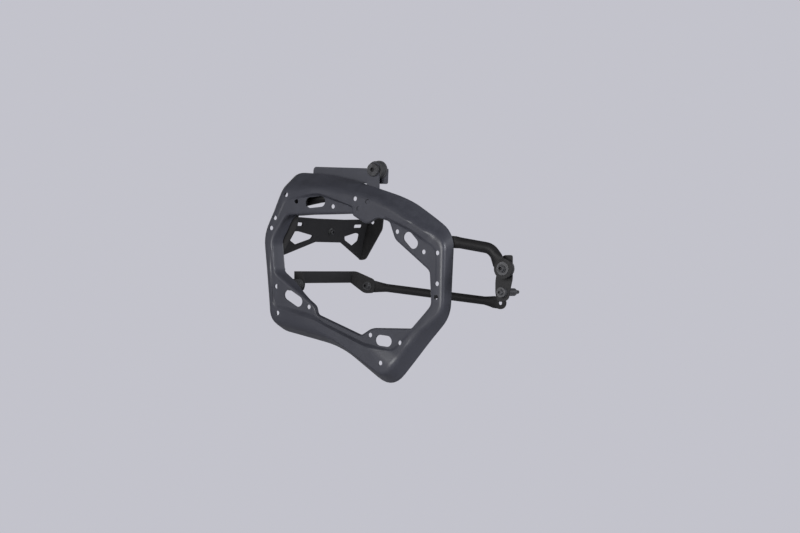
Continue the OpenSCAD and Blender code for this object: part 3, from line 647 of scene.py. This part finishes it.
# Where the ridges start and end: past each 8 mm nut, then in depth, then along the centre screw
PAST_NUT, TOP_SPAN, FRONT_SPAN, CENTRE_SPAN = (0.7, 1.8), (57.8, 58.8), (87, 101.2), (11.2, 0.9)
thread("threads_8", 8, 1.25,
       [[at(x, nut + past, z) for past in PAST_NUT] for x, z, _, nut in SCREWS])
thread("thread_10", 10, 1.5, [[at(TOP_X, y, TOP_Z) for y in TOP_SPAN]])
thread("threads_6", 6, 1.0, [[at(FRONT_X, y, FRONT_Z) for y in FRONT_SPAN],
                             [on_brace(u, CENTRE) for u in CENTRE_SPAN]])


def rows(foot, top, radius, count=30):
    """Lines round a head from foot to top."""
    axis = (top - foot).normalized()
    side = Vector((0, 0, 1)) if abs(axis.z) < 0.9 else Vector((1, 0, 0))
    u = axis.cross(side).normalized()
    v = axis.cross(u)
    out = []
    for k in range(count):
        a = 2 * math.pi * k / count
        reach = (u * math.cos(a) + v * math.sin(a)) * radius * MM
        out.append([foot + reach, top + reach])
    return out


# Knurl: small eight-sided points in rows round the heads
POINT = 0.5 * MM
corners = [(POINT, 0, 0), (-POINT, 0, 0), (0, POINT, 0), (0, -POINT, 0), (0, 0, POINT),
           (0, 0, -POINT)]
sides = [(0, 2, 4), (2, 1, 4), (1, 3, 4), (3, 0, 4), (2, 0, 5), (1, 2, 5), (3, 1, 5), (0, 3, 5)]
grain = bpy.data.objects.new("knurl_point", mesh_of("knurl_point", corners, [], sides))
# Radius of the heads that they stand on, then how far before its seat each row starts and ends
HEAD_8, HEAD_6 = 6.3, 4.7
ROW_8, ROW_6, CENTRE_ROW = (1.4, 6.4), (1.2, 4.8), (19.9, 23.4)
lines = []
for x, z, seat, _ in SCREWS:
    lines += rows(*(at(x, seat - out, z) for out in ROW_8), HEAD_8)
along("knurls_8", lines, grain, 1.25, plated, vary=0.15, seed=4, angle=20)
lines = rows(*(at(FRONT_X, FRONT_SEAT - out, FRONT_Z) for out in ROW_6), HEAD_6)
lines += rows(*(on_brace(u, CENTRE) for u in CENTRE_ROW), HEAD_6)
along("knurls_6", lines, grain, 1.2, plated, vary=0.15, seed=5, angle=20)

# Weld beads: the rear plate along the back of the lip, the top tab on both of its sides
BEAD_R, BEAD_PITCH = 1.5, 1.1
drop = bmesh.new()
bmesh.ops.create_icosphere(drop, subdivisions=2, radius=BEAD_R * MM)
bead_mesh = bpy.data.meshes.new("weld_drop")
drop.to_mesh(bead_mesh)
drop.free()
bead = bpy.data.objects.new("weld_drop", bead_mesh)
# The seam lies this far inside the opening and at this depth, on the rear bar's straight length
SEAM_IN, SEAM_Y, REAR_BAR, SEAM_LOW, SEAM_HIGH = 3.4, 28.9, -160, 16, 70
seam = [at(p[0] + SEAM_IN, SEAM_Y, p[1]) for p in ring_line(OPENING)
        if p[0] < REAR_BAR and SEAM_LOW < p[1] < SEAM_HIGH]
TAB_EDGES, TAB_Y, TAB_SPAN = (14.6, 43.4), -4.4, (122, 139)
tab_sides = [[at(x, TAB_Y, z) for z in TAB_SPAN] for x in TAB_EDGES]
along("weld_beads", [seam] + tab_sides, bead, BEAD_PITCH, weld, vary=0.22, seed=11,
      angle=60)


# Picture and light
def area(name, place, target, size, power, colour=EVEN):
    """A flat lamp at a place, turned to the target."""
    data = bpy.data.lights.new(name, "AREA")
    data.shape = "RECTANGLE"
    data.size, data.size_y = size
    data.energy = power
    data.color = colour
    lamp = object_of(name, data)
    lamp.location = place
    lamp.rotation_euler = (target - place).to_track_quat("-Z", "Y").to_euler()


middle = at(10, 60, 20)
area("key", middle + Vector((0.6, -3.55, 0.5)), middle, size=(2.2, 1.8), power=182)
area("side", middle + Vector((3.0, 0.4, 0.8)), middle, size=(0.7, 0.7), power=84,
     colour=(0.93, 0.95, 1.0))
area("back", middle + Vector((-3.0, 2.3, 0.6)), middle, size=(2.4, 1.8), power=24)

PALE = (0.546, 0.546, 0.602)


def seen_rays(tree):
    """Rays that see the background straight or through glass, and rays that see it mirrored."""
    path = tree.add("ShaderNodeLightPath").outputs
    straight, through, mirrored = (
        Val(tree, path[name])
        for name in ("Is Camera Ray", "Is Transmission Ray", "Is Glossy Ray"))
    return straight.math("MAXIMUM", straight, through), mirrored


world = bpy.data.worlds.new("studio")
bpy.context.scene.world = world
world.use_nodes = True
sky = Tree(world.node_tree)
around = sky.value("Generated", "ShaderNodeTexCoord")
above = sky.value("Z", "ShaderNodeSeparateXYZ", sockets={0: around}).ramp(0.0, 0.5)
direct, mirrored = seen_rays(sky)
soft = above.tint((0.12, 0.12, 0.126), (0.045, 0.045, 0.048))
glossy = above.tint(PALE, (0.05, 0.05, 0.055))
sky.feed(direct.tint(mirrored.tint(soft, glossy), PALE),
         sky.tree.nodes["Background"].inputs["Color"])

# Round floor, in m, that turns into the pale background from one distance to the other
FLOOR_R, FLOOR_Z, FLOOR_SIDES = 40.0, -0.9, 96
FADE_FROM, FADE_TO = 0.8, 2.6
turns = [2 * math.pi * k / FLOOR_SIDES for k in range(FLOOR_SIDES)]
floor_mesh = mesh_of("floor", [(FLOOR_R * math.cos(a), FLOOR_R * math.sin(a), 0) for a in turns],
                     [], [tuple(range(FLOOR_SIDES))])
floor = object_of("floor", floor_mesh)
floor.location.z = FLOOR_Z
ground = Finish("floor_paper")
ground.link(ground.noise(3.0, 2.0).tint((0.40, 0.40, 0.43), (0.43, 0.43, 0.46)), "Base Color")
ground.fixed(Roughness=0.95, Specular_IOR_Level=0.1)
reach = ground.value("Value", "ShaderNodeVectorMath", {"operation": "LENGTH"},
                     {0: ground.place})
far = reach.ramp(FADE_FROM, FADE_TO) * 0.5 + 0.5
direct, mirrored = seen_rays(ground)
glow = ground.value(0, "ShaderNodeEmission", sockets={"Color": (*PALE, 1.0)})
blend = ground.value(0, "ShaderNodeMixShader",
                     sockets={0: far * (direct + mirrored * 0.04),
                              1: Val(ground, ground.shader.outputs[0]), 2: glow})
ground.feed(blend, ground.tree.nodes["Material Output"].inputs["Surface"])
floor_mesh.materials.append(ground.material)

# The camera, with its lens and its shift worked out from pixels of an 800 pixel wide picture
SENSOR, WIDE, FOCAL, SHIFT, AZIMUTH = 36.0, 800, 1912, 5.5, 32
camera_data = bpy.data.cameras.new("camera")
camera_data.sensor_width = SENSOR
camera_data.lens = FOCAL / WIDE * SENSOR
camera_data.shift_y = SHIFT / WIDE
camera_data.clip_end = 100
camera = object_of("camera", camera_data)
camera.location = at(1936.3, -2928.4, 13)
camera.rotation_euler = (math.radians(90), 0, math.radians(AZIMUTH))
bpy.context.scene.camera = camera
bpy.context.scene.view_settings.view_transform = "Standard"
